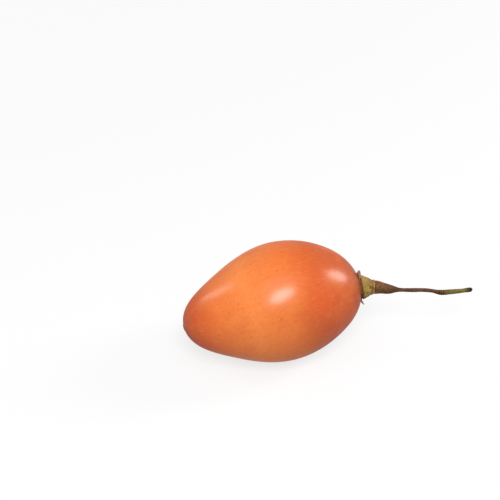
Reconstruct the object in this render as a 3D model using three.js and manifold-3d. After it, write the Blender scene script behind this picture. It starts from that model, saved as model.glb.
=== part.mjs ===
// A tamarillo picked with its stalk and lying on its side, in millimetres, +Z up.
// The origin is the middle of the small flat spot that the fruit rests on, and +X runs along
// the fruit from its tip to its stalk end. It has three pieces: the fruit, its calyx and its stalk.
import * as THREE from "three";
import { mergeVertices } from "three/addons/utils/BufferGeometryUtils.js";
import Module from "manifold-3d";

// Driving dimensions of the fruit: an egg whose radius follows a cosine series along its axis.
// lean is how far its stalk end is drawn over towards the calyx, which sits off the axis, and a
// higher leanPower keeps that closer to the end.
const fruit = { length: 70, width: 46.3, oval: 0.012, lean: 1, leanPower: 5, flatDepth: 0.35 };
const eggSeries = { body: 0.989, taper: 0.18, point: -0.28, shoulder: -0.062, ends: 0.25 };

// Driving dimensions of the calyx, whose heights count outwards from the skin under its middle
const calyx = {
  below: 1.9, // its middle is this far under the fruit's axis
  aside: 1.9, // and this far from it towards -Y
  swing: 10, // degrees that it points towards -Y
  droop: 4.5, // degrees that it points below level
  collarHeight: 5.2,
  collarRadius: 2.9,
  waistRadius: 3.7,
  rimRadius: 4.6,
  lobeReach: 2.1,
  lobeSpread: 27, // degrees from a lobe's middle to its side
  firstLobe: 19, // degrees from -Y towards +Z
  lobes: 5,
  leafThickness: 0.6,
};

// Driving dimensions of the stalk, whose route counts from the middle of the calyx's collar
const stalk = {
  footRadius: 2.6,
  footLength: 7,
  thinRadius: 0.72,
  outerRadius: 0.95,
  thickensFrom: 20,
  thickensTo: 28,
  roundedEnd: 0.7,
  route: [
    [6, -1, -1.1],
    [13, -2.1, -2.2],
    [21.5, -3.4, -2.95],
    [26.5, -4.5, -3.8],
    [32.5, -5.4, -3.8],
    [38.5, -6, -3.5],
  ],
};

const jointGap = 0.3; // clearance between pieces that touch

// Fineness of the surfaces
const aroundFruit = 60;
const alongFruit = 34;
const aroundCalyx = 60;
const aroundStalk = 14;
const alongStalk = 40;

const colours = { skin: 0xee8247, calyx: 0x9a8348, stalk: 0x857347 };

// Solids for the cuts

const wasm = await Module();
wasm.setup();

function solidOf(geometry) {
  const bare = geometry.clone();
  bare.deleteAttribute("normal");
  bare.deleteAttribute("uv");
  const merged = mergeVertices(bare, 1e-4);
  const vertProperties = new Float32Array(merged.getAttribute("position").array);
  const triVerts = new Uint32Array(merged.index.array);
  return new wasm.Manifold(new wasm.Mesh({ numProp: 3, vertProperties, triVerts }));
}

function geometryOf(solid) {
  const mesh = solid.getMesh();
  const geometry = new THREE.BufferGeometry();
  geometry.setAttribute("position", new THREE.BufferAttribute(mesh.vertProperties, 3));
  geometry.setIndex(new THREE.BufferAttribute(mesh.triVerts, 1));
  geometry.computeVertexNormals();
  return geometry;
}

// The egg: turn runs from 0 at the stalk end to PI at the tip.

function skinRadius(turn) {
  const c = Math.cos(turn);
  const { body, taper, point, shoulder, ends } = eggSeries;
  const fullness = body + taper * c + point * c ** 2 + shoulder * c ** 3 + ends * c ** 4;
  return (fruit.width / 2) * Math.sin(turn) * fullness;
}

function axisPlace(turn) {
  return (fruit.length / 2) * Math.cos(turn);
}

// The way from the fruit's axis to the calyx, in the standing egg's X and Z.
function calyxSide() {
  return new THREE.Vector2(calyx.aside, -calyx.below).normalize();
}

function leanAt(along) {
  return fruit.lean * Math.max(0, along / (fruit.length / 2)) ** fruit.leanPower;
}

// The centre of mass along the axis, by adding up thin discs.
function centreOfMass() {
  const discs = 400;
  let volume = 0;
  let moment = 0;
  for (let i = 0; i < discs; i++) {
    const turn = (Math.PI * (i + 0.5)) / discs;
    const disc = skinRadius(turn) ** 2 * Math.sin(turn);
    volume += disc;
    moment += disc * axisPlace(turn);
  }
  return moment / volume;
}

// An egg lies on the point of its underside whose normal passes through the centre of mass.
function restingPoint() {
  const steps = 4000;
  const step = Math.PI / steps;
  const centre = centreOfMass();
  const underside = (turn) => skinRadius(turn) * (1 - fruit.oval);
  for (let turn = Math.PI / 4; turn < Math.PI; turn += step) {
    const rise = underside(turn - step) - underside(turn + step);
    const slope = rise / (axisPlace(turn - step) - axisPlace(turn + step));
    if (axisPlace(turn) + underside(turn) * slope < centre) {
      return { along: axisPlace(turn), radius: underside(turn), tilt: Math.atan(slope) };
    }
  }
  throw new Error("the egg has no point to lie on");
}

// The egg stands along +Y here, stalk end up. grow swells it on every side.
function eggGeometry(grow = 0) {
  const profile = [];
  for (let i = 0; i <= alongFruit; i++) {
    const turn = Math.PI * (1 - i / alongFruit);
    const atPole = i === 0 || i === alongFruit;
    const radius = atPole ? 0 : skinRadius(turn) + grow * Math.sin(turn);
    profile.push(new THREE.Vector2(radius, axisPlace(turn) + grow * Math.cos(turn)));
  }
  const egg = new THREE.LatheGeometry(profile, aroundFruit);
  egg.scale(1 + fruit.oval, 1, 1 - fruit.oval);
  const side = calyxSide();
  const place = egg.getAttribute("position");
  for (let i = 0; i < place.count; i++) {
    const lean = leanAt(place.getY(i));
    place.setXYZ(i, place.getX(i) + lean * side.x, place.getY(i), place.getZ(i) + lean * side.y);
  }
  return egg;
}

// Lays the egg down: its +Y turns to +X, the stalk end rises by the tilt, the contact comes to the origin.
function lyingMatrix() {
  const rest = restingPoint();
  const turned = new THREE.Matrix4().makeRotationZ(-Math.PI / 2);
  const lying = new THREE.Matrix4().makeRotationY(-rest.tilt).multiply(turned);
  const contact = new THREE.Vector3(0, rest.along, -rest.radius).applyMatrix4(lying);
  const moved = new THREE.Matrix4().makeTranslation(-contact.x, -contact.y, -contact.z - fruit.flatDepth);
  return lying.premultiply(moved);
}

const lying = lyingMatrix();

function makeFruit() {
  const egg = solidOf(eggGeometry().applyMatrix4(lying));
  const slab = new THREE.BoxGeometry(fruit.length, fruit.width, 10);
  slab.translate(0, 0, -5);
  return geometryOf(egg.subtract(solidOf(slab)));
}

// The calyx stands along its own +Y here. Its local X is level and its local Z is up once it is placed.

function calyxAxis() {
  const swing = THREE.MathUtils.degToRad(calyx.swing);
  const droop = THREE.MathUtils.degToRad(calyx.droop);
  const level = Math.cos(droop);
  return new THREE.Vector3(Math.cos(swing) * level, -Math.sin(swing) * level, -Math.sin(droop));
}

// How far the skin falls away from the plane under the calyx.
function skinDrop(radius) {
  const turn = 0.1;
  const poleRadius = skinRadius(turn) ** 2 / (2 * (axisPlace(0) - axisPlace(turn)));
  return radius ** 2 / (2 * poleRadius);
}

function calyxMatrix() {
  const offPole = Math.hypot(calyx.below, calyx.aside) - fruit.lean;
  const alongAxis = fruit.length / 2 - skinDrop(offPole);
  const seat = new THREE.Vector3(calyx.aside, alongAxis, -calyx.below).applyMatrix4(lying);
  const out = calyxAxis();
  const up = new THREE.Vector3(0, 0, 1).addScaledVector(out, -out.z).normalize();
  const level = new THREE.Vector3().crossVectors(out, up);
  return new THREE.Matrix4().makeBasis(level, out, up).setPosition(seat);
}

// One at the middle of a lobe, falling straight to nothing at its sides.
function lobeShare(angle) {
  const pitch = 360 / calyx.lobes;
  const fromFirst = THREE.MathUtils.radToDeg(angle) - calyx.firstLobe;
  const fromLobe = Math.abs(THREE.MathUtils.euclideanModulo(fromFirst + pitch / 2, pitch) - pitch / 2);
  return Math.max(0, 1 - fromLobe / calyx.lobeSpread);
}

// Rings of the bell from its underside to its collar: how much of the lobe each one follows.
function calyxRings() {
  const { rimRadius, waistRadius, collarRadius, collarHeight, leafThickness } = calyx;
  return [
    { radius: rimRadius, height: -leafThickness, lobe: 1, followsSkin: 1 },
    { radius: rimRadius, height: leafThickness, lobe: 1, followsSkin: 1 },
    { radius: rimRadius - 0.1, height: 2 * leafThickness, lobe: 0.35, followsSkin: 1 },
    { radius: (rimRadius + waistRadius) / 2, height: 0.32 * collarHeight, lobe: 0, followsSkin: 0 },
    { radius: waistRadius, height: 0.55 * collarHeight, lobe: 0, followsSkin: 0 },
    { radius: collarRadius, height: collarHeight - 0.4, lobe: 0, followsSkin: 0 },
    { radius: collarRadius - 0.4, height: collarHeight, lobe: 0, followsSkin: 0 },
  ];
}

function makeCalyx() {
  const rings = calyxRings();
  const profile = rings.map((ring) => new THREE.Vector2(ring.radius, ring.height));
  profile.unshift(new THREE.Vector2(0, -calyx.leafThickness));
  profile.push(new THREE.Vector2(0, calyx.collarHeight));
  const bell = new THREE.LatheGeometry(profile, aroundCalyx);
  const place = bell.getAttribute("position");
  for (let i = 0; i < place.count; i++) {
    const ring = rings[(i % profile.length) - 1];
    if (!ring) continue;
    const angle = Math.atan2(place.getZ(i), place.getX(i));
    const radius = ring.radius + ring.lobe * calyx.lobeReach * lobeShare(angle);
    const height = ring.height - ring.followsSkin * skinDrop(radius);
    place.setXYZ(i, radius * Math.cos(angle), height, radius * Math.sin(angle));
  }
  const solid = solidOf(bell.applyMatrix4(calyxMatrix()));
  const seat = solidOf(eggGeometry(jointGap).applyMatrix4(lying));
  return geometryOf(solid.subtract(seat));
}

// The stalk tapers from its foot, thickens again near its end and stops at a rounded scar.

function stalkRadius(distance, length) {
  const { footRadius, footLength, thinRadius, outerRadius, thickensFrom, thickensTo, roundedEnd } = stalk;
  const foot = (footRadius - thinRadius) * Math.exp(-((distance / footLength) ** 2.3));
  const outer = (outerRadius - thinRadius) * THREE.MathUtils.smoothstep(distance, thickensFrom, thickensTo);
  const intoEnd = Math.max(0, 1 - (length - distance) / roundedEnd);
  return (thinRadius + foot + outer) * Math.sqrt(1 - 0.6 * intoEnd ** 2);
}

function stalkCurve() {
  const collar = new THREE.Vector3(0, calyx.collarHeight, 0).applyMatrix4(calyxMatrix());
  const start = collar.clone().addScaledVector(calyxAxis(), jointGap);
  const points = stalk.route.map((offset) => new THREE.Vector3(...offset).add(collar));
  return new THREE.CatmullRomCurve3([start, ...points]);
}

function makeStalk() {
  const curve = stalkCurve();
  const length = curve.getLength();
  const frames = curve.computeFrenetFrames(alongStalk, false);
  const rod = new THREE.CylinderGeometry(1, 1, 1, aroundStalk, alongStalk);
  const place = rod.getAttribute("position");
  for (let i = 0; i < place.count; i++) {
    const step = Math.round((place.getY(i) + 0.5) * alongStalk);
    const share = step / alongStalk;
    const radius = stalkRadius(share * length, length);
    const point = curve.getPointAt(share);
    point.addScaledVector(frames.normals[step], radius * place.getX(i));
    point.addScaledVector(frames.binormals[step], -radius * place.getZ(i));
    place.setXYZ(i, point.x, point.y, point.z);
  }
  return geometryOf(solidOf(rod));
}

// Assembly

function piece(name, geometry, color, roughness) {
  const mesh = new THREE.Mesh(geometry, new THREE.MeshStandardMaterial({ color, roughness, metalness: 0 }));
  mesh.name = name;
  return mesh;
}

const tamarillo = new THREE.Group();
tamarillo.name = "tamarillo";
tamarillo.add(piece("fruit", makeFruit(), colours.skin, 0.35));
tamarillo.add(piece("calyx", makeCalyx(), colours.calyx, 0.8));
tamarillo.add(piece("stalk", makeStalk(), colours.stalk, 0.75));

export default tamarillo;
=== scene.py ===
# A tamarillo picked with its stalk, lying on a pale table: fruit, calyx and stalk.
import bmesh
import bpy
import math
import random
from mathutils import Matrix, Vector


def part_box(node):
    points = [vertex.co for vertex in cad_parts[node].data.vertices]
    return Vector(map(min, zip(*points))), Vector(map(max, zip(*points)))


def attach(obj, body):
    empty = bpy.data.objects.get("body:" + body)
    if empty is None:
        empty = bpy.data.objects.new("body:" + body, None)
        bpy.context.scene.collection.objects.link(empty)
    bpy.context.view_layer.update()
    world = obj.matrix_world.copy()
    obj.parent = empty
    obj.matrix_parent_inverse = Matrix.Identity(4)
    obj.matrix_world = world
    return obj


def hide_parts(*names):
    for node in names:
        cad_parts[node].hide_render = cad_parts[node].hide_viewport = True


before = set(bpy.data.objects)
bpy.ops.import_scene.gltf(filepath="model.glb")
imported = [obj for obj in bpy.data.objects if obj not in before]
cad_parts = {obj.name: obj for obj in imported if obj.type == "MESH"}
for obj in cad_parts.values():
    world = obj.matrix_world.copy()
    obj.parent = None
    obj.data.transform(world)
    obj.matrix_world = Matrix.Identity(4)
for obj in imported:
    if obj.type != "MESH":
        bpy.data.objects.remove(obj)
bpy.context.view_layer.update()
mm = 0.001


# where the fruit lies: the poles of the egg are its two points furthest apart, and its stalk end is
# drawn over towards the calyx, which sits off the axis: all this is as the frame has it

offAxis = {"below": 1.9 * mm, "aside": 1.9 * mm}  # where the calyx sits
lean = {"reach": 1.0 * mm, "power": 5}  # how far the end is drawn over, and how close to the end it starts
rounds = {"poles": 6, "lean": 3}  # how many times each is worked out again from the last result


def furthestFrom(node, place):
    return max((corner.co for corner in node.data.vertices), key=lambda co: (co - place).length).copy()


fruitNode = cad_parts["fruit"]
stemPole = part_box("fruit")[1]
for turn in range(rounds["poles"]):
    tipPole = furthestFrom(fruitNode, stemPole)
    stemPole = furthestFrom(fruitNode, tipPole)
leanedPole = stemPole
for turn in range(rounds["lean"]):
    fruitAxis = (stemPole - tipPole).normalized()
    fruitUp = fruitAxis.cross(Vector((0, 1, 0)))
    leanWay = (Vector((0, -offAxis["aside"], 0)) - fruitUp * offAxis["below"]).normalized()
    stemPole = leanedPole - leanWay * lean["reach"]
fruitAxis = (stemPole - tipPole).normalized()
fruitMiddle = (stemPole + tipPole) / 2
fruitLength = (stemPole - tipPole).length
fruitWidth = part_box("fruit")[1].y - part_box("fruit")[0].y
fruitTilt = math.asin(fruitAxis.z)
print("fruit", round(fruitLength / mm, 2), "x", round(fruitWidth / mm, 2), "mm, tilt",
      round(math.degrees(fruitTilt), 2))


# helpers for modelling

def startFresh():
    if bpy.context.object and bpy.context.object.mode != "OBJECT":
        bpy.ops.object.mode_set(mode="OBJECT")
    bpy.ops.object.select_all(action="DESELECT")


def named(name):
    piece = bpy.context.object
    piece.name = name
    piece.data.name = name
    return piece


def makeActive(piece):
    startFresh()
    piece.select_set(True)
    bpy.context.view_layer.objects.active = piece


def editPiece(piece):
    makeActive(piece)
    bpy.ops.object.mode_set(mode="EDIT")


def pickPoints(piece, test):
    bpy.ops.mesh.select_mode(type="VERT")
    mesh = bmesh.from_edit_mesh(piece.data)
    for point in mesh.verts:
        point.select_set(test(point.co))
    mesh.select_flush_mode()
    bmesh.update_edit_mesh(piece.data)


def pickFaces(piece, test):
    bpy.ops.mesh.select_mode(type="FACE")
    mesh = bmesh.from_edit_mesh(piece.data)
    for face in mesh.faces:
        face.select_set(test(face.calc_center_median()))
    mesh.select_flush_mode()
    bmesh.update_edit_mesh(piece.data)


def resizePicked(x, y, z, centre=(0, 0, 0)):
    bpy.ops.transform.resize(value=(x, y, z), center_override=centre)


def turnPicked(angle, axis, centre=(0, 0, 0)):
    # with no window the operator turns the other way, so its angle is given backwards
    bpy.ops.transform.rotate(value=-math.radians(angle), orient_axis=axis, center_override=centre)


def drawRings(name, sides, rings):
    # a disc round Z whose edge is drawn on through each radius and height in mm, and closed at the end
    radius, height = rings[0]
    startFresh()
    bpy.ops.mesh.primitive_circle_add(vertices=sides, radius=radius * mm, fill_type="NGON",
                                      location=(0, 0, 0))
    piece = named(name)
    editPiece(piece)
    bpy.ops.mesh.select_all(action="SELECT")
    bpy.ops.transform.translate(value=(0, 0, height * mm))
    bpy.ops.mesh.select_mode(type="EDGE")
    bpy.ops.mesh.region_to_loop()
    for nextRadius, nextHeight in rings[1:]:
        rise = (0, 0, (nextHeight - height) * mm)
        bpy.ops.mesh.extrude_edges_move(TRANSFORM_OT_translate={"value": rise})
        resizePicked(nextRadius / radius, nextRadius / radius, 1)
        radius, height = nextRadius, nextHeight
    bpy.ops.mesh.edge_face_add()
    return piece


def applyModifier(piece, kind, **settings):
    makeActive(piece)
    modifier = piece.modifiers.new(kind.title(), kind)
    for name, value in settings.items():
        setattr(modifier, name, value)
    bpy.ops.object.modifier_apply(modifier=modifier.name)


def applySubdivision(piece, levels):
    applyModifier(piece, "SUBSURF", levels=levels, render_levels=levels)


def applyLumps(piece, size, depth):
    texture = bpy.data.textures.new(piece.name + "Lumps", "CLOUDS")
    texture.noise_scale = size
    applyModifier(piece, "DISPLACE", texture=texture, texture_coords="LOCAL", strength=depth, mid_level=0.5)
    bpy.data.textures.remove(texture)


def finishPiece(piece, matrix=None):
    makeActive(piece)
    if matrix is not None:
        piece.matrix_world = matrix
    bpy.ops.object.transform_apply(location=True, rotation=True, scale=True)
    bpy.ops.object.shade_smooth()


def eased(share):
    # 0 to 1 with a gentle start and end
    share = min(1, max(0, share))
    return share ** 2 * (3 - 2 * share)


# helpers for finishes

def colour(red, green, blue):
    # an sRGB colour from 0 to 255, as a shader socket takes it
    shares = (red / 255, green / 255, blue / 255)
    return tuple(((share + 0.055) / 1.055) ** 2.4 for share in shares) + (1,)


def addNode(tree, kind, **values):
    # a keyword sets the input of that name, with _ for a space, or else the node's own setting
    node = tree.nodes.new("ShaderNode" + kind)
    for name, value in values.items():
        label = name.replace("_", " ")
        if label in node.inputs:
            node.inputs[label].default_value = value
        else:
            setattr(node, name, value)
    return node


def mathNode(tree, operation, *values):
    node = addNode(tree, "Math", operation=operation)
    for socket, value in zip(node.inputs, values):
        if isinstance(value, (int, float)):
            socket.default_value = value
        else:
            tree.links.new(value, socket)
    return node.outputs[0]


def times(tree, first, second):
    return mathNode(tree, "MULTIPLY", first, second)


def mixColour(tree, share, under, over):
    node = addNode(tree, "Mix", data_type="RGBA")
    for socket, value in ((node.inputs[0], share), (node.inputs[6], under), (node.inputs[7], over)):
        if isinstance(value, tuple):
            socket.default_value = value
        else:
            tree.links.new(value, socket)
    return node.outputs[2]


def layOver(tree, under, mask, share, over):
    # a colour laid over another where the mask is, at a share of its strength
    return mixColour(tree, times(tree, mask, share), under, over)


def rampNode(tree, value, stops):
    node = addNode(tree, "ValToRGB")
    elements = node.color_ramp.elements
    while len(elements) < len(stops):
        elements.new(0.5)
    for element, (place, tint) in zip(elements, stops):
        element.position = place
        element.color = tint if isinstance(tint, tuple) else (tint, tint, tint, 1)
    tree.links.new(value, node.inputs[0])
    return node.outputs[0]


# patterns that the finishes share: each is a node group that takes coordinates and its own settings,
# and puts out a mask

def newPattern(name, *settings):
    group = bpy.data.node_groups.new(name, "ShaderNodeTree")
    group.interface.new_socket("Vector", in_out="INPUT", socket_type="NodeSocketVector")
    for label in settings:
        group.interface.new_socket(label, in_out="INPUT", socket_type="NodeSocketFloat")
    group.interface.new_socket("Mask", in_out="OUTPUT", socket_type="NodeSocketFloat")
    return group, group.nodes.new("NodeGroupInput"), group.nodes.new("NodeGroupOutput")


def maskNoise(group, noise, given, result):
    # the mask is nothing where the noise is below Low, and full where it is above High
    levels = addNode(group, "MapRange", interpolation_type="SMOOTHSTEP")
    group.links.new(noise.outputs["Fac"], levels.inputs["Value"])
    group.links.new(given.outputs["Low"], levels.inputs["From Min"])
    group.links.new(given.outputs["High"], levels.inputs["From Max"])
    group.links.new(levels.outputs[0], result.inputs[0])


def makeMottling():
    # soft patches
    group, given, result = newPattern("mottling", "Scale", "Detail", "Low", "High")
    noise = addNode(group, "TexNoise", Roughness=0.6)
    for label in ("Vector", "Scale", "Detail"):
        group.links.new(given.outputs[label], noise.inputs[label])
    maskNoise(group, noise, given, result)
    return group


speckShape = {
    "warpScale": 2, "warpReach": 0.35,  # noise that bends the dots, as shares of their own scale
    "core": 0.35, "faintest": 0.4,  # how much of a dot is full, and how strong the faintest dot is
}


def makeSpecks():
    # separate dots: Size is their radius as a share of the spacing, Share how many places have one
    group, given, result = newPattern("specks", "Scale", "Size", "Share")
    vector, scale, size = (given.outputs[label] for label in ("Vector", "Scale", "Size"))
    warp = addNode(group, "TexNoise", Detail=1.0)
    warped = addNode(group, "VectorMath", operation="MULTIPLY_ADD")
    cells = addNode(group, "TexVoronoi", Randomness=1.0)
    group.links.new(vector, warp.inputs["Vector"])
    group.links.new(times(group, scale, speckShape["warpScale"]), warp.inputs["Scale"])
    group.links.new(warp.outputs["Color"], warped.inputs[0])
    group.links.new(mathNode(group, "DIVIDE", speckShape["warpReach"], scale), warped.inputs[1])
    group.links.new(vector, warped.inputs[2])
    group.links.new(warped.outputs[0], cells.inputs["Vector"])
    group.links.new(scale, cells.inputs["Scale"])
    dots = addNode(group, "MapRange", interpolation_type="SMOOTHSTEP", To_Min=1.0, To_Max=0.0)
    group.links.new(cells.outputs["Distance"], dots.inputs["Value"])
    group.links.new(times(group, size, speckShape["core"]), dots.inputs["From Min"])
    group.links.new(size, dots.inputs["From Max"])
    parted = addNode(group, "SeparateColor")
    group.links.new(cells.outputs["Color"], parted.inputs[0])
    chosen = mathNode(group, "LESS_THAN", parted.outputs[0], given.outputs["Share"])
    faintest = speckShape["faintest"]
    strength = mathNode(group, "MULTIPLY_ADD", parted.outputs[1], 1 - faintest, faintest)
    group.links.new(times(group, times(group, dots.outputs[0], chosen), strength), result.inputs[0])
    return group


def makeStreaks():
    # lines that run along X and lie round it: Around is how many there are, Along how soon they break
    group, given, result = newPattern("streaks", "Around", "Along", "Low", "High")
    parts = addNode(group, "SeparateXYZ")
    across = addNode(group, "CombineXYZ")
    unit = addNode(group, "VectorMath", operation="NORMALIZE")
    ring = addNode(group, "VectorMath", operation="SCALE")
    run = addNode(group, "CombineXYZ")
    joined = addNode(group, "VectorMath", operation="ADD")
    noise = addNode(group, "TexNoise", Scale=1.0, Detail=3.0, Roughness=0.55)
    group.links.new(given.outputs["Vector"], parts.inputs[0])
    group.links.new(parts.outputs[1], across.inputs[1])
    group.links.new(parts.outputs[2], across.inputs[2])
    group.links.new(across.outputs[0], unit.inputs[0])
    group.links.new(unit.outputs[0], ring.inputs[0])
    group.links.new(given.outputs["Around"], ring.inputs["Scale"])
    group.links.new(times(group, parts.outputs[0], given.outputs["Along"]), run.inputs[0])
    group.links.new(ring.outputs[0], joined.inputs[0])
    group.links.new(run.outputs[0], joined.inputs[1])
    group.links.new(joined.outputs[0], noise.inputs["Vector"])
    maskNoise(group, noise, given, result)
    return group


mottling, specks, streaks = makeMottling(), makeSpecks(), makeStreaks()


def placePattern(tree, group, vector, settings):
    node = tree.nodes.new("ShaderNodeGroup")
    node.node_tree = group
    tree.links.new(vector, node.inputs["Vector"])
    for name, value in settings.items():
        node.inputs[name].default_value = value
    return node.outputs["Mask"]


def layPatterns(tree, tint, vector, values, layers):
    # each layer is a pattern, the name of its colour, its share and the pattern's settings
    for group, over, share, settings in values[layers]:
        mask = placePattern(tree, group, vector, settings)
        tint = layOver(tree, tint, mask, share, values[over])
    return tint


def newFinish(name, values):
    finish = bpy.data.materials.new(name)
    finish.use_nodes = True
    shader = finish.node_tree.nodes["Principled BSDF"]
    shader.inputs["Roughness"].default_value = values["roughness"]
    shader.inputs["Specular IOR Level"].default_value = values["specular"]
    return finish, finish.node_tree, shader


def placedCoordinates(tree, place=(0, 0, 0), turn=(0, 0, 0)):
    # the piece's own frame: its middle and its turn taken off the row's coordinates
    given = addNode(tree, "TexCoord")
    placed = addNode(tree, "Mapping", vector_type="TEXTURE", Location=place, Rotation=turn)
    tree.links.new(given.outputs["Object"], placed.inputs["Vector"])
    return placed.outputs[0]


def attributeOf(tree, name, output="Fac"):
    return addNode(tree, "Attribute", attribute_name=name).outputs[output]


def partOf(tree, vector, letter):
    parts = addNode(tree, "SeparateXYZ")
    tree.links.new(vector, parts.inputs[0])
    return parts.outputs[letter]


def squeeze(tree, vector, shares):
    node = addNode(tree, "VectorMath", operation="MULTIPLY")
    tree.links.new(vector, node.inputs[0])
    node.inputs[1].default_value = shares
    return node.outputs[0]


def spread(tree, value, low, high, atLow=0.0, atHigh=1.0):
    # runs evenly from one result to the other as the value goes from low to high
    node = addNode(tree, "MapRange", From_Min=low, From_Max=high, To_Min=atLow, To_Max=atHigh)
    tree.links.new(value, node.inputs["Value"])
    return node.outputs[0]


def nearness(tree, vector, place, radius):
    # 1 at a place, fading to 0 at the radius
    away = addNode(tree, "VectorMath", operation="DISTANCE")
    tree.links.new(vector, away.inputs[0])
    away.inputs[1].default_value = place
    node = addNode(tree, "MapRange", interpolation_type="SMOOTHSTEP", From_Min=0.0, From_Max=radius,
                   To_Min=1.0, To_Max=0.0)
    tree.links.new(away.outputs["Value"], node.inputs["Value"])
    return node.outputs[0]


def seenDirectly(tree):
    # 1 for what the camera sees, also by reflection or through glass, and 0 for light that bounces
    path = addNode(tree, "LightPath")
    seen = mathNode(tree, "MAXIMUM", path.outputs["Is Camera Ray"], path.outputs["Is Glossy Ray"])
    return mathNode(tree, "MAXIMUM", seen, path.outputs["Is Transmission Ray"])


def addBump(tree, shader, layers):
    # layers of (height mask, depth), each laid on the last
    below = None
    for height, depth in layers:
        bump = addNode(tree, "Bump", Strength=1.0, Distance=depth)
        tree.links.new(height, bump.inputs["Height"])
        if below is not None:
            tree.links.new(below, bump.inputs["Normal"])
        below = bump.outputs[0]
    tree.links.new(below, shader.inputs["Normal"])


# fruit: a sphere drawn out into an egg ring by ring

fruitShape = {
    "segments": 128, "rings": 84, "ringSlack": 0.02 * mm,  # how near a ring's height its points are picked
    "fullness": (0.989, 0.18, -0.28, -0.062, 0.25),  # shares of each power of the cosine, 1 at the stalk end
    "oval": 0.012,
    "lumpSize": 22 * mm, "lumpDepth": 0.35 * mm,
    "scar": 1.4 * mm, "scarSteps": ((-0.10, 0.82), (-0.22, 0.62), (0.12, 0.5)),  # mm out, and narrowing
}


def fullnessAt(turnCosine):
    return sum(share * turnCosine ** power for power, share in enumerate(fruitShape["fullness"]))


def makeFruit():
    shape = fruitShape
    half, oval = fruitLength / 2, shape["oval"]
    leanHere = Vector((offAxis["below"], -offAxis["aside"], 0)).normalized() * lean["reach"]
    bpy.ops.mesh.primitive_uv_sphere_add(segments=shape["segments"], ring_count=shape["rings"], radius=half)
    fruit = named("fruitSkin")
    editPiece(fruit)
    for ring in range(shape["rings"]):
        height = math.cos(math.pi * ring / shape["rings"])
        pickPoints(fruit, lambda co: abs(co.z - height * half) < shape["ringSlack"])
        widen = fullnessAt(height) * fruitWidth / 2 / (1 + oval) / half
        resizePicked(widen * (1 - oval), widen * (1 + oval), 1)
        bpy.ops.transform.translate(value=leanHere * max(0, height) ** lean["power"])
    # the flower leaves a small scarred nub at the tip
    pickFaces(fruit, lambda co: co.z < 0 and co.xy.length < shape["scar"])
    for out, narrow in shape["scarSteps"]:
        bpy.ops.mesh.extrude_region_move(TRANSFORM_OT_translate={"value": (0, 0, out * mm)})
        resizePicked(narrow, narrow, 1)
    across = Vector((0, 1, 0))
    placed = Matrix((across.cross(fruitAxis), across, fruitAxis)).transposed().to_4x4()
    finishPiece(fruit, Matrix.Translation(fruitMiddle) @ placed)
    applyLumps(fruit, shape["lumpSize"], shape["lumpDepth"])
    applySubdivision(fruit, 1)
    editPiece(fruit)
    pickPoints(fruit, lambda co: co.z < 0)  # the skin is pressed flat where it rests
    resizePicked(1, 1, 0)
    finishPiece(fruit)
    return fruit


skinFinish = {
    "roughness": 0.5, "smoother": 0.04, "rougher": 0.06, "specular": 0.12,
    "sheer": 0.112, "sheerRoughness": 0.26, "sheerIndex": 3.2,
    "flush": colour(206, 82, 20), "streak": colour(216, 90, 24), "gold": colour(255, 156, 72),
    "russetAndShade": colour(118, 56, 24), "scar": colour(84, 48, 28), "lenticel": colour(252, 184, 136),
    "speck": colour(112, 50, 20),
    # darker at the tip and at the stalk end: partly the fruit's own tone, partly painted shade
    "alongColours": (  # from the tip to the stalk end
        (0.00, colour(174, 36, 4)), (0.06, colour(206, 74, 16)), (0.18, colour(238, 117, 44)),
        (0.36, colour(252, 138, 61)), (0.55, colour(235, 118, 44)), (0.74, colour(204, 86, 12)),
        (0.91, colour(188, 77, 14)), (0.95, colour(156, 60, 12)), (1.00, colour(142, 54, 16))),
    "patches": (  # pattern, colour, share and the pattern's settings
        (mottling, "gold", 0.22, {"Scale": 75, "Detail": 4, "Low": 0.45, "High": 0.68}),
        (mottling, "flush", 0.3, {"Scale": 50, "Detail": 4, "Low": 0.48, "High": 0.74})),
    # the first two are blush deepened with painted shade on the lower right; the third is a deeper orange of
    # the skin
    "blushesAndShade": (  # place and reach in mm, share and colour
        ((22, -12, -14), 20, 0.75, colour(178, 66, 40)), ((17, -20, 5), 15, 0.38, colour(178, 66, 40)),
        ((17, -18, 9.5), 11, 0.5, colour(216, 76, 2))),
    "grain": (
        (streaks, "streak", 0.18, {"Around": 9, "Along": 60, "Low": 0.5, "High": 0.8}),
        (streaks, "streak", 0.14, {"Around": 32, "Along": 110, "Low": 0.5, "High": 0.78}),
        (mottling, "flush", 0.2, {"Scale": 900, "Detail": 4, "Low": 0.42, "High": 0.66}),
        (streaks, "gold", 0.17, {"Around": 44, "Along": 400, "Low": 0.5, "High": 0.72})),
    "ringReach": 14 * mm, "ringPower": 1.6,  # the ring of russet and painted shade thins out with distance from the calyx
    "ringBreaks": {"Scale": 600, "Detail": 4, "Low": 0.3, "High": 0.58},
    "seatReach": 10 * mm, "seatShare": 0.9, "scarReach": 1.6 * mm,
    "lenticels": {"Scale": 700, "Size": 0.2, "Share": 0.3}, "lenticelShare": 0.26, "lenticelRise": 0.02 * mm,
    "pits": {"Scale": 330, "Size": 0.13, "Share": 0.3}, "pitShare": 0.65, "pitDepth": 0.05 * mm,
    "ticks": {"Scale": 210, "Size": 0.1, "Share": 0.2}, "tickShare": 0.6, "tickSqueeze": (1, 0.6, 0.35),
    "dullness": {"Scale": 120, "Detail": 4, "Low": 0.3, "High": 0.75},
    "pores": {"Scale": 1500, "Detail": 2, "Low": 0.2, "High": 0.8}, "poreRise": 0.02 * mm,
}


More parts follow.
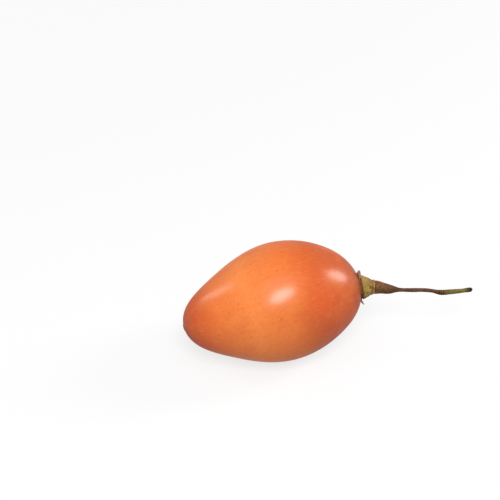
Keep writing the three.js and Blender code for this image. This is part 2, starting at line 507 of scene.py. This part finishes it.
def makeSkinFinish():
    values = skinFinish
    finish, tree, shader = newFinish("skin", values)
    shader.inputs["Coat Weight"].default_value = values["sheer"]
    shader.inputs["Coat Roughness"].default_value = values["sheerRoughness"]
    shader.inputs["Coat IOR"].default_value = values["sheerIndex"]
    place = placedCoordinates(tree, fruitMiddle, (0, -fruitTilt, 0))
    along = spread(tree, partOf(tree, place, "X"), -fruitLength / 2, fruitLength / 2)
    tint = rampNode(tree, along, values["alongColours"])
    tint = layPatterns(tree, tint, place, values, "patches")
    # blush patches, the first two partly painted shade on the lower right
    for middle, reach, share, over in values["blushesAndShade"]:
        blush = nearness(tree, place, [distance * mm for distance in middle], reach * mm)
        tint = layOver(tree, tint, blush, share, over)
    tint = layPatterns(tree, tint, place, values, "grain")
    # brown round the calyx, partly russet and partly painted shade, in broken patches, and at the scar of
    # the flower
    seat = (fruitLength / 2, -offAxis["aside"], -offAxis["below"])
    ring = mathNode(tree, "POWER", nearness(tree, place, seat, values["ringReach"]), values["ringPower"])
    broken = placePattern(tree, mottling, place, values["ringBreaks"])
    tint = layOver(tree, tint, ring, broken, values["russetAndShade"])
    # a solid ring of russet and painted shade close to the calyx
    seated = nearness(tree, place, seat, values["seatReach"])
    tint = layOver(tree, tint, seated, values["seatShare"], values["russetAndShade"])
    scar = nearness(tree, place, (-fruitLength / 2, 0, 0), values["scarReach"])
    tint = mixColour(tree, scar, tint, values["scar"])
    lenticels = placePattern(tree, specks, place, values["lenticels"])
    tint = layOver(tree, tint, lenticels, values["lenticelShare"], values["lenticel"])
    pits = placePattern(tree, specks, place, values["pits"])
    tint = layOver(tree, tint, pits, values["pitShare"], values["speck"])
    ticks = placePattern(tree, specks, squeeze(tree, place, values["tickSqueeze"]), values["ticks"])
    tint = layOver(tree, tint, ticks, values["tickShare"], values["speck"])
    tree.links.new(tint, shader.inputs["Base Color"])
    dullness = placePattern(tree, mottling, place, values["dullness"])
    smoothest = values["roughness"] - values["smoother"]
    roughest = values["roughness"] + values["rougher"]
    tree.links.new(spread(tree, dullness, 0.0, 1.0, smoothest, roughest), shader.inputs["Roughness"])
    pores = placePattern(tree, mottling, place, values["pores"])
    addBump(tree, shader, (
        (pores, values["poreRise"]), (lenticels, values["lenticelRise"]), (pits, -values["pitDepth"])))
    return finish


fruit = makeFruit()
fruit.data.materials.append(makeSkinFinish())
print("fruit made,", len(fruit.data.polygons), "faces")


# calyx: a bell of five joined sepals, with their tips curled off the skin

calyxShape = {
    "swing": 10, "droop": 4.5,  # degrees towards -Y and below level, as the frame has them
    "sides": 60,
    "bell": (  # radius and height of each ring in mm, from the collar down to the rim and in under it
        (1.60, 5.20), (2.62, 5.16), (2.90, 4.88), (2.84, 4.46), (2.98, 4.05), (3.28, 3.45), (3.64, 2.85),
        (4.00, 2.30), (4.30, 1.80), (4.50, 1.40), (4.56, 1.10), (4.46, 0.86), (4.24, 0.72), (4.22, 0.58),
        (4.50, 0.48), (4.80, 0.38), (4.90, 0.22), (4.84, 0.04), (4.30, 0.06), (3.20, 0.10), (2.00, 0.20)),
    "lobeBand": (0.08, 0.42), "lobeRoot": 4.6,  # heights in mm, and least radius, where lobes leave the rim
    "lobes": (  # turn from the top towards -Y and half its width in degrees, length in mm, how far the
                # tip stands off the skin, how far it bends aside, and how many degrees it is curled on edge
        (-4, 19, 2.9, 1.8, 0.1, 80), (71, 27, 1.6, 0.0, -0.2, 8), (143, 12, 1.8, 1.6, 0.2, -55),
        (215, 27, 2.3, 0.7, -0.3, 20), (287, 27, 1.9, 0.2, 0.2, -15)),
    "lobeSteps": 5, "lobeClearance": 0.2 * mm, "lobeRise": 1.5, "lobeThinning": 0.9, "tipShare": 0.15,
    "ribWidth": 13, "ribHeight": 0.045, "ribBand": (0.3, 4),  # degrees, share, and heights in mm
    "collarWarts": {"count": 19, "jitter": 8, "radius": 2.82, "heights": (4.62, 5.08)},  # degrees and mm
    "bellWarts": {"count": 34, "rings": (4, 9), "turns": (60, 230)},
    "wartSeed": 5, "wartRadius": (0.20 * mm, 0.44 * mm), "wartStretch": (0.8, 1.4), "wartFlatness": 0.65,
    "wartTop": 0.3, "wartPress": (0.8, 0.8, 0.7), "corkReach": 0.42 * mm,
    "followsSkin": (0.5, 3.5),  # heights in mm: as the skin falls away, the bell follows it below the
                                # first and keeps its own shape above the second
    "liesBeyond": 4.85,  # radius in mm past which the calyx follows the skin at any height
    "lookHeight": 5 * mm,  # the skin is looked for straight down from here
    "voxel": 0.1 * mm, "smoothing": 0.5, "smoothTimes": 2,
    "lumps": ((0.9 * mm, 0.26 * mm), (0.35 * mm, 0.08 * mm)),  # size and depth
}


def skinDrop(radius):
    # how far the skin at the stalk end falls away from a plane laid on it
    turn = 0.1  # radians from the pole to the ring that shows how round the end is
    ringRadius = math.sin(turn) * fullnessAt(math.cos(turn)) * fruitWidth / 2
    poleRadius = ringRadius ** 2 / (fruitLength * (1 - math.cos(turn)))
    return radius ** 2 / (2 * poleRadius)


def calyxAxis():
    swing, droop = math.radians(calyxShape["swing"]), math.radians(calyxShape["droop"])
    return Vector((math.cos(swing) * math.cos(droop), -math.sin(swing) * math.cos(droop), -math.sin(droop)))


def calyxMatrix():
    out = calyxAxis()
    up = (Vector((0, 0, 1)) - out * out.z).normalized()
    offPole = math.hypot(offAxis["below"], offAxis["aside"]) - lean["reach"]
    seat = stemPole - fruitAxis * skinDrop(offPole) - fruitUp * offAxis["below"]
    seat.y -= offAxis["aside"]
    return Matrix.Translation(seat) @ Matrix((up, out.cross(up), out)).transposed().to_4x4()


calyxPlace = calyxMatrix()


def turnOf(co):
    return math.degrees(math.atan2(co.y, co.x))


def turnBetween(first, second):
    return abs((first - second + 180) % 360 - 180)


def aroundAxis(turn, radius, height):
    return Vector((radius * math.cos(math.radians(turn)), radius * math.sin(math.radians(turn)), height))


def pickedCentre(piece):
    mesh = bmesh.from_edit_mesh(piece.data)
    places = [point.co for point in mesh.verts if point.select]
    return sum(places, Vector()) / len(places)


def drawLobe(calyx, turn, halfTurn, length, standsOff, bend, curl):
    # a band of the rim is turned to the X axis and drawn out step by step, narrowing and curling on edge
    shape, steps = calyxShape, calyxShape["lobeSteps"]
    low, high = shape["lobeBand"]
    bpy.ops.mesh.select_all(action="SELECT")
    turnPicked(-turn, "Z")
    pickFaces(calyx, lambda co: turnBetween(turnOf(co), 0) < halfTurn
              and low * mm < co.z < high * mm and co.xy.length > shape["lobeRoot"] * mm)
    curled, width = 0, 1
    for step in range(1, steps + 1):
        share = step / steps
        centre = pickedCentre(calyx)
        radius = centre.xy.length + length * mm / steps
        height = shape["lobeClearance"] + standsOff * mm * share ** shape["lobeRise"]
        place = aroundAxis(bend * math.degrees(length * mm / radius) * share, radius, height)
        bpy.ops.mesh.extrude_region_move(TRANSFORM_OT_translate={"value": place - centre})
        centre = pickedCentre(calyx)
        narrower = 1 - share * (1 - shape["tipShare"])
        turnPicked(-curled, "X", centre)
        resizePicked(1, narrower / width, shape["lobeThinning"], centre)
        curled, width = curl * (1 - (1 - share) ** 2), narrower
        turnPicked(curled, "X", centre)
    bpy.ops.mesh.select_all(action="SELECT")
    turnPicked(turn, "Z")


def addWarts(calyx):
    # one corky wart is modelled and copied round the collar and over the bell
    shape, onCollar, onBell = calyxShape, calyxShape["collarWarts"], calyxShape["bellWarts"]
    startFresh()
    bpy.ops.mesh.primitive_ico_sphere_add(subdivisions=2, radius=1)
    wart = named("wart")
    editPiece(wart)
    pickPoints(wart, lambda co: co.z > shape["wartTop"])
    resizePicked(*shape["wartPress"], centre=(0, 0, shape["wartTop"]))
    bpy.ops.object.mode_set(mode="OBJECT")
    draw = random.Random(shape["wartSeed"])
    places = []
    for count in range(onCollar["count"]):
        turn = 360 * count / onCollar["count"] + draw.uniform(-onCollar["jitter"], onCollar["jitter"])
        places.append(aroundAxis(turn, onCollar["radius"] * mm, draw.uniform(*onCollar["heights"]) * mm))
    for count in range(onBell["count"]):
        radius, height = shape["bell"][draw.randint(*onBell["rings"])]
        places.append(aroundAxis(draw.uniform(*onBell["turns"]), radius * mm, height * mm))
    copies = []
    for place in places:
        makeActive(wart)
        bpy.ops.object.duplicate()
        copy = bpy.context.object
        size = draw.uniform(*shape["wartRadius"])
        copy.scale = (size, size * draw.uniform(*shape["wartStretch"]), size * shape["wartFlatness"])
        copy.location = place
        copy.rotation_euler = Vector((place.x, place.y, 0)).to_track_quat("Z", "Y").to_euler()
        copies.append(copy)
    makeActive(calyx)
    for copy in copies:
        copy.select_set(True)
    bpy.ops.object.join()
    bpy.data.objects.remove(wart)
    return places


def skinUnder(co):
    # the height of the fruit's skin under a place on the calyx, in the calyx's own frame
    above = Vector((co.x, co.y, calyxShape["lookHeight"]))
    place = fruit.ray_cast(calyxPlace @ above, calyxPlace.to_3x3() @ Vector((0, 0, -1)))[1]
    return (calyxPlace.inverted() @ place).z


def followSkin(calyx):
    # the foot of the bell and its lobes are laid on the fruit under them
    followsBelow, keepsAbove = calyxShape["followsSkin"]
    for point in calyx.data.vertices:
        share = (keepsAbove * mm - point.co.z) / (keepsAbove - followsBelow) / mm
        if point.co.xy.length > calyxShape["liesBeyond"] * mm:
            share = 1
        point.co.z += skinUnder(point.co) * eased(share)


def makeCalyx():
    shape = calyxShape
    calyx = drawRings("calyxBell", shape["sides"], shape["bell"])
    low, high = shape["ribBand"]
    for turn, halfTurn, length, standsOff, bend, curl in shape["lobes"]:
        drawLobe(calyx, turn, halfTurn, length, standsOff, bend, curl)
        # a rib runs from the lobe up towards the collar
        pickPoints(calyx, lambda co: turnBetween(turnOf(co), turn) < shape["ribWidth"]
                   and low * mm < co.z < high * mm)
        resizePicked(1 + shape["ribHeight"], 1 + shape["ribHeight"], 1)
    bpy.ops.mesh.select_all(action="SELECT")
    bpy.ops.mesh.normals_make_consistent(inside=False)
    bpy.ops.object.mode_set(mode="OBJECT")
    warts = addWarts(calyx)
    followSkin(calyx)
    applyModifier(calyx, "REMESH", mode="VOXEL", voxel_size=shape["voxel"])
    applyModifier(calyx, "SMOOTH", factor=shape["smoothing"], iterations=shape["smoothTimes"])
    for size, depth in shape["lumps"]:
        applyLumps(calyx, size, depth)
    # what the finish goes by: how near a wart is, and how far each place is off the fruit's skin in mm
    for name in ("corky", "offSkin"):
        calyx.data.attributes.new(name, "FLOAT", "POINT")
    corky, offSkin = calyx.data.attributes["corky"].data, calyx.data.attributes["offSkin"].data
    for point, near, off in zip(calyx.data.vertices, corky, offSkin):
        nearest = min((point.co - place).length for place in warts)
        near.value = max(0, 1 - nearest / shape["corkReach"])
        off.value = (point.co.z - skinUnder(point.co)) / mm
    return calyx


calyxFinish = {
    "roughness": 0.85, "specular": 0.2,
    "olive": colour(150, 120, 56), "green": colour(138, 124, 38), "tan": colour(188, 150, 88),
    "brown": colour(98, 66, 28), "brownAndShade": colour(96, 54, 16), "speck": colour(80, 52, 20),
    "cork": colour(204, 166, 126), "leaf": colour(205, 172, 152), "leafDark": colour(158, 122, 102),
    "pink": colour(168, 132, 84),
    "patches": {"Scale": 420, "Detail": 3, "Low": 0.38, "High": 0.66}, "patchShare": 0.7,
    "greenPlace": (2.8 * mm, 2.9 * mm, 2.0 * mm), "greenReach": 3.6 * mm, "greenShare": 0.7,
    "blots": {"Scale": 1000, "Detail": 3, "Low": 0.44, "High": 0.6}, "blotDepth": 0.05 * mm,
    "blotBand": (1.2 * mm, 3.4 * mm), "blotShares": (0.3, 0.9),  # heights, and the share at each
    "underShadeBand": (0.0, -4 * mm), "underShadeShare": 0.6,  # how far under its axis the bell turns brown, as painted shade on its underside
    "overBand": (2.4 * mm, 3.8 * mm), "overShare": 0.6,  # how far over its axis it turns pinkish
    "neckHeight": 4.4 * mm, "neckReach": 0.45 * mm, "neckShare": 0.7,  # a brown line round the neck
    "dots": {"Scale": 1100, "Size": 0.3, "Share": 0.35}, "dotShare": 0.6,
    "corkBand": (0.1, 0.7), "corkShare": 0.8,
    "creviceShadeBand": (1.02, 0.74), "creviceShadeShare": 0.92,  # mm off the skin where the dark brown and painted shade start and are full
    "leafBand": (4.7 * mm, 5.5 * mm),  # radii between which the bell's finish becomes the lobes'
    "torn": {"Scale": 620, "Detail": 3, "Low": 0.32, "High": 0.6},
    "tornPlace": (0.5 * mm, 4.9 * mm, 0.2 * mm), "tornReach": 4.4 * mm, "tornFull": 0.4,
    "grain": {"Scale": 2600, "Detail": 3, "Low": 0.2, "High": 0.8}, "grainRise": 0.03 * mm,
}


def makeCalyxFinish():
    values = calyxFinish
    finish, tree, shader = newFinish("calyxCork", values)
    place = placedCoordinates(tree, calyxPlace.translation, calyxPlace.to_euler())
    upward, outward = partOf(tree, place, "X"), partOf(tree, place, "Z")
    patches = placePattern(tree, mottling, place, values["patches"])
    tint = layOver(tree, values["olive"], patches, values["patchShare"], values["tan"])
    green = nearness(tree, place, values["greenPlace"], values["greenReach"])
    tint = layOver(tree, tint, green, values["greenShare"], values["green"])
    blots = placePattern(tree, mottling, place, values["blots"])
    blotShare = spread(tree, outward, *values["blotBand"], *values["blotShares"])
    tint = layOver(tree, tint, blots, blotShare, values["brown"])
    # painted shade: brown on the bell's underside
    under = spread(tree, upward, *values["underShadeBand"])
    tint = layOver(tree, tint, under, values["underShadeShare"], values["brown"])
    over = spread(tree, upward, *values["overBand"])
    tint = layOver(tree, tint, over, values["overShare"], values["pink"])
    fromNeck = mathNode(tree, "ABSOLUTE", mathNode(tree, "SUBTRACT", outward, values["neckHeight"]))
    neck = spread(tree, fromNeck, 0.0, values["neckReach"], values["neckShare"], 0.0)
    tint = mixColour(tree, neck, tint, values["brown"])
    dots = placePattern(tree, specks, place, values["dots"])
    tint = layOver(tree, tint, dots, values["dotShare"], values["speck"])
    cork = spread(tree, attributeOf(tree, "corky"), *values["corkBand"])
    tint = layOver(tree, tint, cork, values["corkShare"], values["cork"])
    # brown and painted shade where the bell's rim lies close to the skin
    brownAndShade = spread(tree, attributeOf(tree, "offSkin"), *values["creviceShadeBand"])
    tint = layOver(tree, tint, brownAndShade, values["creviceShadeShare"], values["brownAndShade"])
    # the lobes are dry and paler, and torn to brown on one side
    leafTint = mixColour(tree, patches, values["leafDark"], values["leaf"])
    torn = placePattern(tree, mottling, place, values["torn"])
    tornHere = nearness(tree, place, values["tornPlace"], values["tornReach"])
    tornHere = spread(tree, tornHere, 0.0, values["tornFull"])
    leafTint = layOver(tree, leafTint, torn, tornHere, values["brownAndShade"])
    fromAxis = addNode(tree, "VectorMath", operation="LENGTH")
    tree.links.new(squeeze(tree, place, (1, 1, 0)), fromAxis.inputs[0])
    leaf = spread(tree, fromAxis.outputs["Value"], *values["leafBand"])
    tint = mixColour(tree, leaf, tint, leafTint)
    tree.links.new(tint, shader.inputs["Base Color"])
    grain = placePattern(tree, mottling, place, values["grain"])
    addBump(tree, shader, ((blots, -values["blotDepth"]), (grain, values["grainRise"])))
    return finish


calyx = makeCalyx()
calyx.data.materials.append(makeCalyxFinish())
finishPiece(calyx, calyxPlace)
print("calyx made,", len(calyx.data.polygons), "faces")


# stalk: a rod drawn out ring by ring, wrinkled at its node, then bent along its route

stalkShape = {
    "route": (  # mm from the middle of the calyx's collar, as the frame has it
        (6, -1, -1.3), (13, -2.1, -2.2), (21.5, -3.4, -2.95), (26.5, -4.5, -3.8), (32.5, -5.4, -3.8),
        (38.5, -6, -3.5)),
    "start": 0.04 * mm, "straightTo": 1.5 * mm, "routeSteps": 24,  # it leaves the collar square to it
    "sides": 24, "step": 0.2,
    "outline": (  # distance from the foot and radius, in mm
        (0.00, 2.52), (0.40, 2.68), (2.1, 2.42), (3.7, 2.14), (5.1, 1.98), (6.2, 1.82), (7.4, 1.56),
        (8.6, 1.20), (10.0, 0.84), (11.6, 0.74), (13.4, 0.82), (16.4, 0.86), (18.2, 0.77), (21, 0.79),
        (23.6, 0.70), (25.0, 0.80), (26.6, 1.08), (29.0, 1.05), (32.5, 0.97), (35.5, 0.86), (37.4, 0.93),
        (38.7, 0.90), (39.2, 0.72)),
    "brokenEnd": ((0.72, 0.06), (0.55, -0.10), (0.25, -0.16)),  # share of the last radius, and mm past it
    "folds": (25.0, 28.6), "foldRise": 2, "foldSpacing": 0.8, "foldDepth": 0.15,
    "creaseShadeBelow": 1.6, "creaseShadeAbove": 1.3,  # how dark the painted shade in a crease is, and how much less where it faces up
    "nodeSag": 0.28 * mm,
    "ridgeStretch": 7, "ridgeSize": 0.9 * mm, "ridgeDepth": 0.22 * mm,
    "lumpSize": 0.5 * mm, "lumpDepth": 0.07 * mm,
}


def outlineAt(distance):
    outline = stalkShape["outline"]
    for (start, startRadius), (end, endRadius) in zip(outline, outline[1:]):
        if distance <= end:
            share = (distance - start) / (end - start)
            return startRadius + (endRadius - startRadius) * share
    return outline[-1][1]


def foldAt(distance):
    # one in the creases of the node's folds and nothing away from them
    (start, end), rise = stalkShape["folds"], stalkShape["foldRise"]
    within = max(0, min(1, (distance - start) * rise, (end - distance) * rise))
    return within * (0.5 - 0.5 * math.cos(2 * math.pi * distance / stalkShape["foldSpacing"]))


def makeRoute():
    shape = stalkShape
    collar = calyxPlace @ Vector((0, 0, calyxShape["bell"][0][1] * mm))
    places = [collar + calyxAxis() * shape["start"], collar + calyxAxis() * shape["straightTo"]]
    places += [collar + Vector(offset) * mm for offset in shape["route"]]
    startFresh()
    bpy.ops.curve.primitive_bezier_curve_add(location=(0, 0, 0))
    route = named("stalkRoute")
    points = route.data.splines[0].bezier_points
    points.add(len(places) - len(points))
    for point, place in zip(points, places):
        point.co = place
        point.handle_left_type = point.handle_right_type = "AUTO"
    route.data.resolution_u = shape["routeSteps"]
    return route


def makeStalk():
    shape = stalkShape
    length = shape["outline"][-1][0]
    rings = [(outlineAt(0), 0)]
    for count in range(1, round(length / shape["step"]) + 1):
        distance = count * shape["step"]
        rings.append((outlineAt(distance) * (1 - shape["foldDepth"] * foldAt(distance)), distance))
    radius, height = rings[-1]
    rings += [(radius * share, height + past) for share, past in shape["brokenEnd"]]
    stalk = drawRings("stalkRod", shape["sides"], rings)
    bpy.ops.mesh.select_all(action="SELECT")
    bpy.ops.mesh.normals_make_consistent(inside=False)
    # pressed short, lumped and drawn out again, so that the lumps become ridges along it
    resizePicked(1, 1, 1 / shape["ridgeStretch"])
    bpy.ops.object.mode_set(mode="OBJECT")
    applyLumps(stalk, shape["ridgeSize"], shape["ridgeDepth"])
    editPiece(stalk)
    bpy.ops.mesh.select_all(action="SELECT")
    resizePicked(1, 1, shape["ridgeStretch"])
    bpy.ops.object.mode_set(mode="OBJECT")
    applySubdivision(stalk, 1)
    straight = stalk.data.attributes.new("straight", "FLOAT_VECTOR", "POINT")
    for point, value in zip(stalk.data.vertices, straight.data):
        value.vector = (point.co.z, point.co.x, point.co.y)
    route = makeRoute()
    applyModifier(stalk, "CURVE", object=route, deform_axis="POS_Z")
    bpy.data.objects.remove(route)
    # what the finish goes by: the painted shade in the creases, and which side is uppermost
    attributes = stalk.data.attributes
    for name in ("creaseShade", "upper"):
        attributes.new(name, "FLOAT", "POINT")
    values = zip(attributes["straight"].data, attributes["creaseShade"].data, attributes["upper"].data)
    start, end = shape["folds"]
    for point, (place, creaseShade, upper) in zip(stalk.data.vertices, values):
        distance = place.vector.x / mm
        facingUp = point.normal.z
        upper.value = facingUp
        dark = shape["creaseShadeBelow"] - shape["creaseShadeAbove"] * facingUp
        creaseShade.value = foldAt(distance) * min(1, max(0, dark))
        sag = 1 - abs(distance - (start + end) / 2) / (end - start)
        point.co.z -= shape["nodeSag"] * eased(sag)
    applyLumps(stalk, shape["lumpSize"], shape["lumpDepth"])
    return stalk


stalkFinish = {
    "roughness": 0.72, "specular": 0.15,
    "alongColours": (  # from the foot to the broken end
        (0.00, colour(128, 88, 54)), (0.10, colour(112, 76, 46)), (0.20, colour(88, 60, 40)),
        (0.30, colour(98, 66, 44)), (0.45, colour(100, 68, 46)), (0.60, colour(100, 68, 46)),
        (0.66, colour(98, 68, 42)), (0.72, colour(116, 88, 50)), (0.78, colour(118, 102, 54)),
        (0.91, colour(126, 114, 60)), (0.945, colour(88, 80, 46)), (0.97, colour(40, 36, 33)),
        (1.00, colour(30, 28, 30))),
    "pink": colour(150, 80, 58), "olive": colour(92, 80, 38), "dark": colour(60, 40, 28),
    "pale": colour(166, 130, 98), "creaseShade": colour(42, 22, 8),
    "woody": ((0.0, 1.0), (0.68, 1.0), (0.78, 0.25), (0.94, 0.1), (1.0, 0.0)),  # how woody it is along it
    "blush": {"Around": 1.6, "Along": 260, "Low": 0.5, "High": 0.68}, "blushShare": 0.5,
    "ridgeUp": (0.75, 0.97), "ridgeAlong": (0.17, 0.05), "ridgeShare": 0.8,  # the foot's pink upper side
    "blots": {"Scale": 900, "Detail": 3, "Low": 0.46, "High": 0.62}, "blotShare": 0.6,
    "blotDepth": 0.05 * mm,
    "moss": {"Scale": 520, "Detail": 3, "Low": 0.5, "High": 0.66}, "mossShare": 0.7,
    "grooves": {"Around": 3.2, "Along": 520, "Low": 0.54, "High": 0.7}, "grooveShare": 0.45,
    "grooveDepth": 0.06 * mm,
    "dots": {"Scale": 1300, "Size": 0.3, "Share": 0.3}, "dotShare": 0.6,
    "creaseShadeBand": (0.1, 0.55),
    "grain": {"Scale": 2400, "Detail": 3, "Low": 0.2, "High": 0.8}, "grainRise": 0.03 * mm,
}


def makeStalkFinish():
    values = stalkFinish
    finish, tree, shader = newFinish("stalkBark", values)
    place = attributeOf(tree, "straight", "Vector")
    along = spread(tree, partOf(tree, place, "X"), 0.0, stalkShape["outline"][-1][0] * mm)
    woody = rampNode(tree, along, values["woody"])
    tint = rampNode(tree, along, values["alongColours"])
    blush = times(tree, placePattern(tree, streaks, place, values["blush"]), woody)
    tint = layOver(tree, tint, blush, values["blushShare"], values["pink"])
    ridgeUp = spread(tree, attributeOf(tree, "upper"), *values["ridgeUp"])
    ridge = times(tree, ridgeUp, spread(tree, along, *values["ridgeAlong"]))
    tint = layOver(tree, tint, ridge, values["ridgeShare"], values["pink"])
    blots = placePattern(tree, mottling, place, values["blots"])
    tint = layOver(tree, tint, times(tree, blots, woody), values["blotShare"], values["dark"])
    moss = times(tree, placePattern(tree, mottling, place, values["moss"]), woody)
    tint = layOver(tree, tint, moss, values["mossShare"], values["olive"])
    grooves = placePattern(tree, streaks, place, values["grooves"])
    tint = layOver(tree, tint, grooves, values["grooveShare"], values["dark"])
    dots = times(tree, placePattern(tree, specks, place, values["dots"]), woody)
    tint = layOver(tree, tint, dots, values["dotShare"], values["pale"])
    # painted shade in the node's creases
    creaseShade = spread(tree, attributeOf(tree, "creaseShade"), *values["creaseShadeBand"])
    tint = mixColour(tree, creaseShade, tint, values["creaseShade"])
    tree.links.new(tint, shader.inputs["Base Color"])
    grain = placePattern(tree, mottling, place, values["grain"])
    addBump(tree, shader, (
        (grooves, -values["grooveDepth"]), (blots, -values["blotDepth"]), (grain, values["grainRise"])))
    return finish


stalk = makeStalk()
stalk.data.materials.append(makeStalkFinish())
finishPiece(stalk)
print("stalk made,", len(stalk.data.polygons), "faces")


# table and light

tableFinish = {
    "size": 6, "roughness": 0.6, "specular": 0.1,
    "paleSeen": (0.92, 0.92, 0.92, 1), "paleBounced": (0.35, 0.35, 0.35, 1),
    "shadowShare": 0.25, "shadowReach": 0.9,  # shadows fade out with distance, so the table's edge is white
}


def makeTable():
    startFresh()
    bpy.ops.mesh.primitive_plane_add(size=tableFinish["size"])
    table = named("table")
    finish, tree, shader = newFinish("table", tableFinish)
    white = addNode(tree, "Emission", Color=(1, 1, 1, 1), Strength=1.0)
    cameraRay = addNode(tree, "LightPath").outputs["Is Camera Ray"]
    pale = mixColour(tree, cameraRay, tableFinish["paleBounced"], tableFinish["paleSeen"])
    tree.links.new(pale, shader.inputs["Base Color"])
    middle = nearness(tree, placedCoordinates(tree), (0, 0, 0), tableFinish["shadowReach"])
    lit = mathNode(tree, "SUBTRACT", 1, times(tree, middle, tableFinish["shadowShare"]))
    mix = addNode(tree, "MixShader")
    tree.links.new(times(tree, seenDirectly(tree), lit), mix.inputs[0])
    tree.links.new(shader.outputs[0], mix.inputs[1])
    tree.links.new(white.outputs[0], mix.inputs[2])
    tree.links.new(mix.outputs[0], tree.nodes["Material Output"].inputs[0])
    table.data.materials.append(finish)


cameraSetup = {
    "azimuth": -13.1, "elevation": 38, "distance": 535 * mm, "lens": 100,
    "fruitRight": 8.45 * mm, "fruitDown": 20.68 * mm,  # how far off the middle of the frame the fruit lies
}


def viewAxes(azimuth, elevation):
    around, over = math.radians(azimuth), math.radians(elevation)
    level = math.cos(over)
    toCamera = Vector((math.sin(around) * level, -math.cos(around) * level, math.sin(over)))
    right = Vector((0, 0, 1)).cross(toCamera).normalized()
    return right, toCamera.cross(right), toCamera


def addCamera():
    right, up, toCamera = viewAxes(cameraSetup["azimuth"], cameraSetup["elevation"])
    aim = fruitMiddle - right * cameraSetup["fruitRight"] + up * cameraSetup["fruitDown"]
    startFresh()
    bpy.ops.object.camera_add(location=aim + toCamera * cameraSetup["distance"])
    camera = bpy.context.object
    camera.name = "camera"
    camera.rotation_euler = toCamera.to_track_quat("Z", "Y").to_euler()
    camera.data.lens = cameraSetup["lens"]
    bpy.context.scene.camera = camera


lightSetup = {
    "distance": 0.75, "sky": 0.25,
    "lamps": {  # each at a place right, up and towards the camera from the fruit, with its length and
                # width, how many degrees it is turned, and its share of a plain light
        "above": {"side": (0.01, 0.27, 0.96), "size": (0.44, 0.25), "turn": 34, "level": 0.68},
        "high": {"side": (-0.03, 0.62, 0.78), "size": (0.75, 0.48), "turn": 20, "level": 0.15},
        "right": {"side": (0.85, 0.53, 0.06), "size": (0.24, 0.34), "turn": 0, "level": 0.44},
        "left": {"side": (-0.80, 0.60, 0.02), "size": (0.08, 0.40), "turn": -41, "level": 0.12}},
}


def addLamps():
    axes = viewAxes(cameraSetup["azimuth"], cameraSetup["elevation"])
    distance = lightSetup["distance"]
    for name, lamp in lightSetup["lamps"].items():
        side = sum((axis * share for axis, share in zip(axes, lamp["side"])), Vector()).normalized()
        startFresh()
        bpy.ops.object.light_add(type="AREA", location=fruitMiddle + side * distance)
        light = bpy.context.object
        light.name = "lamp" + name.title()
        light.rotation_euler = side.to_track_quat("Z", "Y").to_euler()
        light.rotation_euler.rotate_axis("Z", math.radians(lamp["turn"]))
        light.data.shape = "ELLIPSE"
        light.data.size, light.data.size_y = lamp["size"]
        light.data.energy = lamp["level"] * (math.pi * distance) ** 2  # level 1 shows colours as written


def addSky():
    world = bpy.data.worlds.new("studio")
    bpy.context.scene.world = world
    world.use_nodes = True
    tree = world.node_tree
    sky = tree.nodes["Background"]
    sky.inputs["Color"].default_value = (1, 1, 1, 1)
    strength = spread(tree, seenDirectly(tree), 0.0, 1.0, lightSetup["sky"], 1.0)
    tree.links.new(strength, sky.inputs["Strength"])


makeTable()
addCamera()
addLamps()
addSky()
bpy.context.scene.view_settings.view_transform = "Standard"
print("table, camera and lamps placed")

for piece, node, slot in ((fruit, "fruit", "skin"), (calyx, "calyx", "calyx"), (stalk, "stalk", "stalk")):
    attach(piece, "root")
    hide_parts(node)
